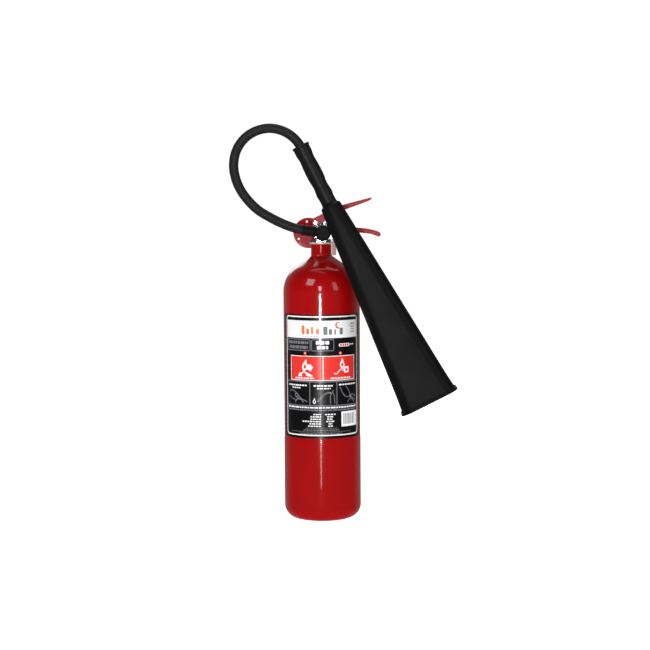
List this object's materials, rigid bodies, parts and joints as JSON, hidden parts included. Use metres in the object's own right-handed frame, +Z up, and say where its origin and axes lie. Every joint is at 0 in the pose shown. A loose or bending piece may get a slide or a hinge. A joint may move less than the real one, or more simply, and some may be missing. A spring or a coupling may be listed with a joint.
{
  "type": "fire extinguisher",
  "caption": "Carbon dioxide fire extinguisher: red steel cylinder, squeeze-grip valve, looped swivel hose and a black discharge horn.",
  "frame": {"origin": "on the cylinder's axis, in the plane of the base's standing ring", "axes": "+Z up along the cylinder, +X the way the levers point, -Y the side of the outlet, hose and horn"},
  "size_m": [0.4398, 0.1984, 0.7782],
  "materials": {
    "red_paint": "gloss enamel",
    "lever_red": "satin powder coat",
    "plate_red": "smooth",
    "label_film": "printed film",
    "chrome_plate": "polished",
    "steel": "turned",
    "zinc": "zinc plated",
    "brass": "turned",
    "black_metal": "black satin",
    "hose_rubber": "satin",
    "grip_rubber": "semi-gloss",
    "horn_plastic": "satin moulded",
    "seal_rubber": "matt",
    "tag_card": "matt"
  },
  "bodies": {
    "cylinder": {"cylinder_shell": "red_paint", "front_label": "label_film", "neck_ring": "zinc", "neck_o_ring": "seal_rubber", "valve_body": "chrome_plate", "siphon_adapter": "brass", "siphon_tube": "steel", "poppet_spring": "steel", "stem_o_ring": "seal_rubber", "gland_nut": "brass", "burst_disc": "steel", "burst_disc_washer": "brass", "burst_disc_plug": "chrome_plate", "guard_plate": "plate_red", "outlet_nut": "black_metal", "outlet_o_ring": "seal_rubber", "carry_handle": "lever_red", "handle_rivets": "lever_red", "lever_pivot_pin": "chrome_plate", "pivot_circlip": "steel", "tag_ring": "steel"},
    "lever": {"squeeze_lever": "lever_red", "thrust_pin": "lever_red"},
    "stem": {"valve_stem": "steel", "poppet": "brass", "poppet_seal": "seal_rubber"},
    "pin": {"safety_pin": "steel"},
    "finger_ring": {"pull_ring": "steel"},
    "hose_and_horn": {"hose_elbow": "black_metal", "valve_end_ferrule": "black_metal", "hose": "hose_rubber", "horn_end_ferrule": "steel", "hose_nipple": "steel", "discharge_nozzle": "brass", "horn_grip": "grip_rubber", "discharge_horn": "horn_plastic"},
    "tag": {"hanging_tag": "tag_card"}
  },
  "joints": [
    {"name": "lever_squeeze", "type": "hinge", "parent": "cylinder", "child": "lever", "pos_m": [-0.011, 0, 0.586], "axis": [0, 1, 0], "range_deg": [0, 15], "stiffness_Nm_per_rad": 2, "springref_deg": -5.73},
    {"name": "stem_stroke", "type": "slide", "parent": "cylinder", "child": "stem", "axis": [0, 0, -1], "range_m": [0, 0.0031], "deforming": ["poppet_spring"]},
    {"name": "pin_pull", "type": "slide", "parent": "cylinder", "child": "pin", "axis": [0, 1, 0], "range_m": [0, 0.045]},
    {"name": "ring_swing", "type": "hinge", "parent": "pin", "child": "finger_ring", "pos_m": [0.012, 0.018, 0.594], "axis": [1, 0, 0], "range_deg": [-5, 85]},
    {"name": "outlet_swivel", "type": "hinge", "parent": "cylinder", "child": "hose_and_horn", "pos_m": [0.004, -0.033, 0.566], "axis": [0, -1, 0], "range_deg": [0, 40]},
    {"name": "tag_swing", "type": "hinge", "parent": "cylinder", "child": "tag", "pos_m": [0.024, -0.0111, 0.5503], "axis": [0, 1, 0], "range_deg": [-20, 0]}
  ],
  "couplings": [
    {"joint": "stem_stroke", "follows": "lever_squeeze", "m_per_rad": 0.01166}
  ]
}
